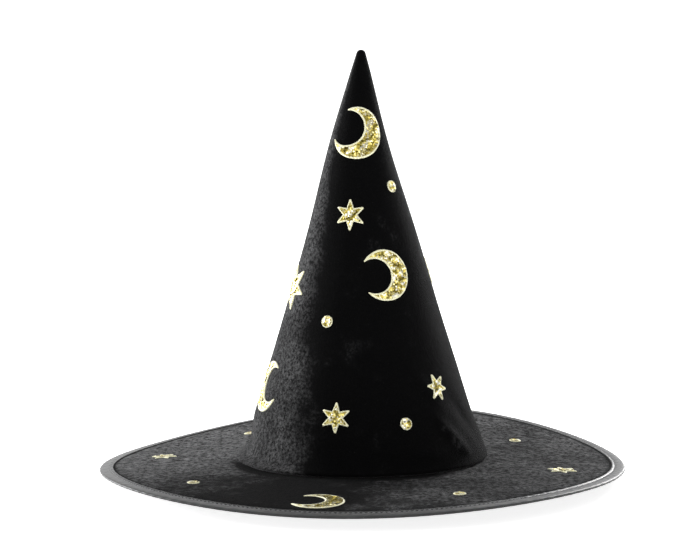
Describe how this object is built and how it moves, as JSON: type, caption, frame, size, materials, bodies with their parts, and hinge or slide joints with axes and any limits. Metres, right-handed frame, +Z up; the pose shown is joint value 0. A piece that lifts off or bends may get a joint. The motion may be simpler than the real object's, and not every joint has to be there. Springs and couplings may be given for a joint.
{
  "type": "witch hat",
  "caption": "Tall pointed velvet hat with a wide wired brim, a bound edge and gold moons, stars and dots, worn on the head with a costume.",
  "frame": {"origin": "on the table under the middle of the hat, level with the lowest edge of the brim", "axes": "+Z up through the tip of the crown, -Y towards the front of the hat, +X towards the right as seen from the front"},
  "size_m": [0.3979, 0.398, 0.323],
  "materials": {
    "black_velvet": "short velvet pile",
    "grey_felt": "pressed felt",
    "black_lining": "plain woven lining",
    "velvet_backing": "knitted backing of the velvet",
    "black_satin": "plain satin",
    "stiff_board": "pressed board",
    "black_grosgrain": "ribbed grosgrain",
    "white_label": "smooth woven tape",
    "grey_satin": "satin bias tape",
    "steel": "drawn wire",
    "grey_thread": "twisted thread",
    "black_thread": "twisted thread",
    "pale_gold_thread": "metallic embroidery thread",
    "gold_glitter": "glitter-faced cloth"
  },
  "bodies": {
    "root": {"crown_velvet": "black_velvet", "crown_stiffener": "grey_felt", "crown_lining": "black_lining", "crown_seam_allowance": "velvet_backing", "crown_seam_thread": "black_thread", "head_seam_tabs": "velvet_backing", "head_seam_thread": "black_thread", "sweatband": "black_grosgrain", "sweatband_thread": "black_thread", "care_label": "white_label", "brim_velvet": "black_velvet", "brim_board": "stiff_board", "brim_underside": "black_satin", "brim_wire": "steel", "wire_ferrule": "steel", "brim_binding": "grey_satin", "binding_thread": "grey_thread", "crown_moon_upper": "gold_glitter", "crown_moon_middle": "gold_glitter", "crown_moon_left": "gold_glitter", "crown_moon_rear_left": "gold_glitter", "crown_moon_rear_right": "gold_glitter", "crown_star_upper": "gold_glitter", "crown_star_left": "gold_glitter", "crown_star_front": "gold_glitter", "crown_star_right": "gold_glitter", "crown_star_rear_high": "gold_glitter", "crown_star_rear_left": "gold_glitter", "crown_star_rear_right": "gold_glitter", "crown_dots": "gold_glitter", "crown_motif_edging": "pale_gold_thread", "brim_moon_front": "gold_glitter", "brim_moon_rear": "gold_glitter", "brim_star_left": "gold_glitter", "brim_star_right": "gold_glitter", "brim_star_rear": "gold_glitter", "brim_dots": "gold_glitter", "brim_motif_edging": "pale_gold_thread"}
  },
  "joints": []
}
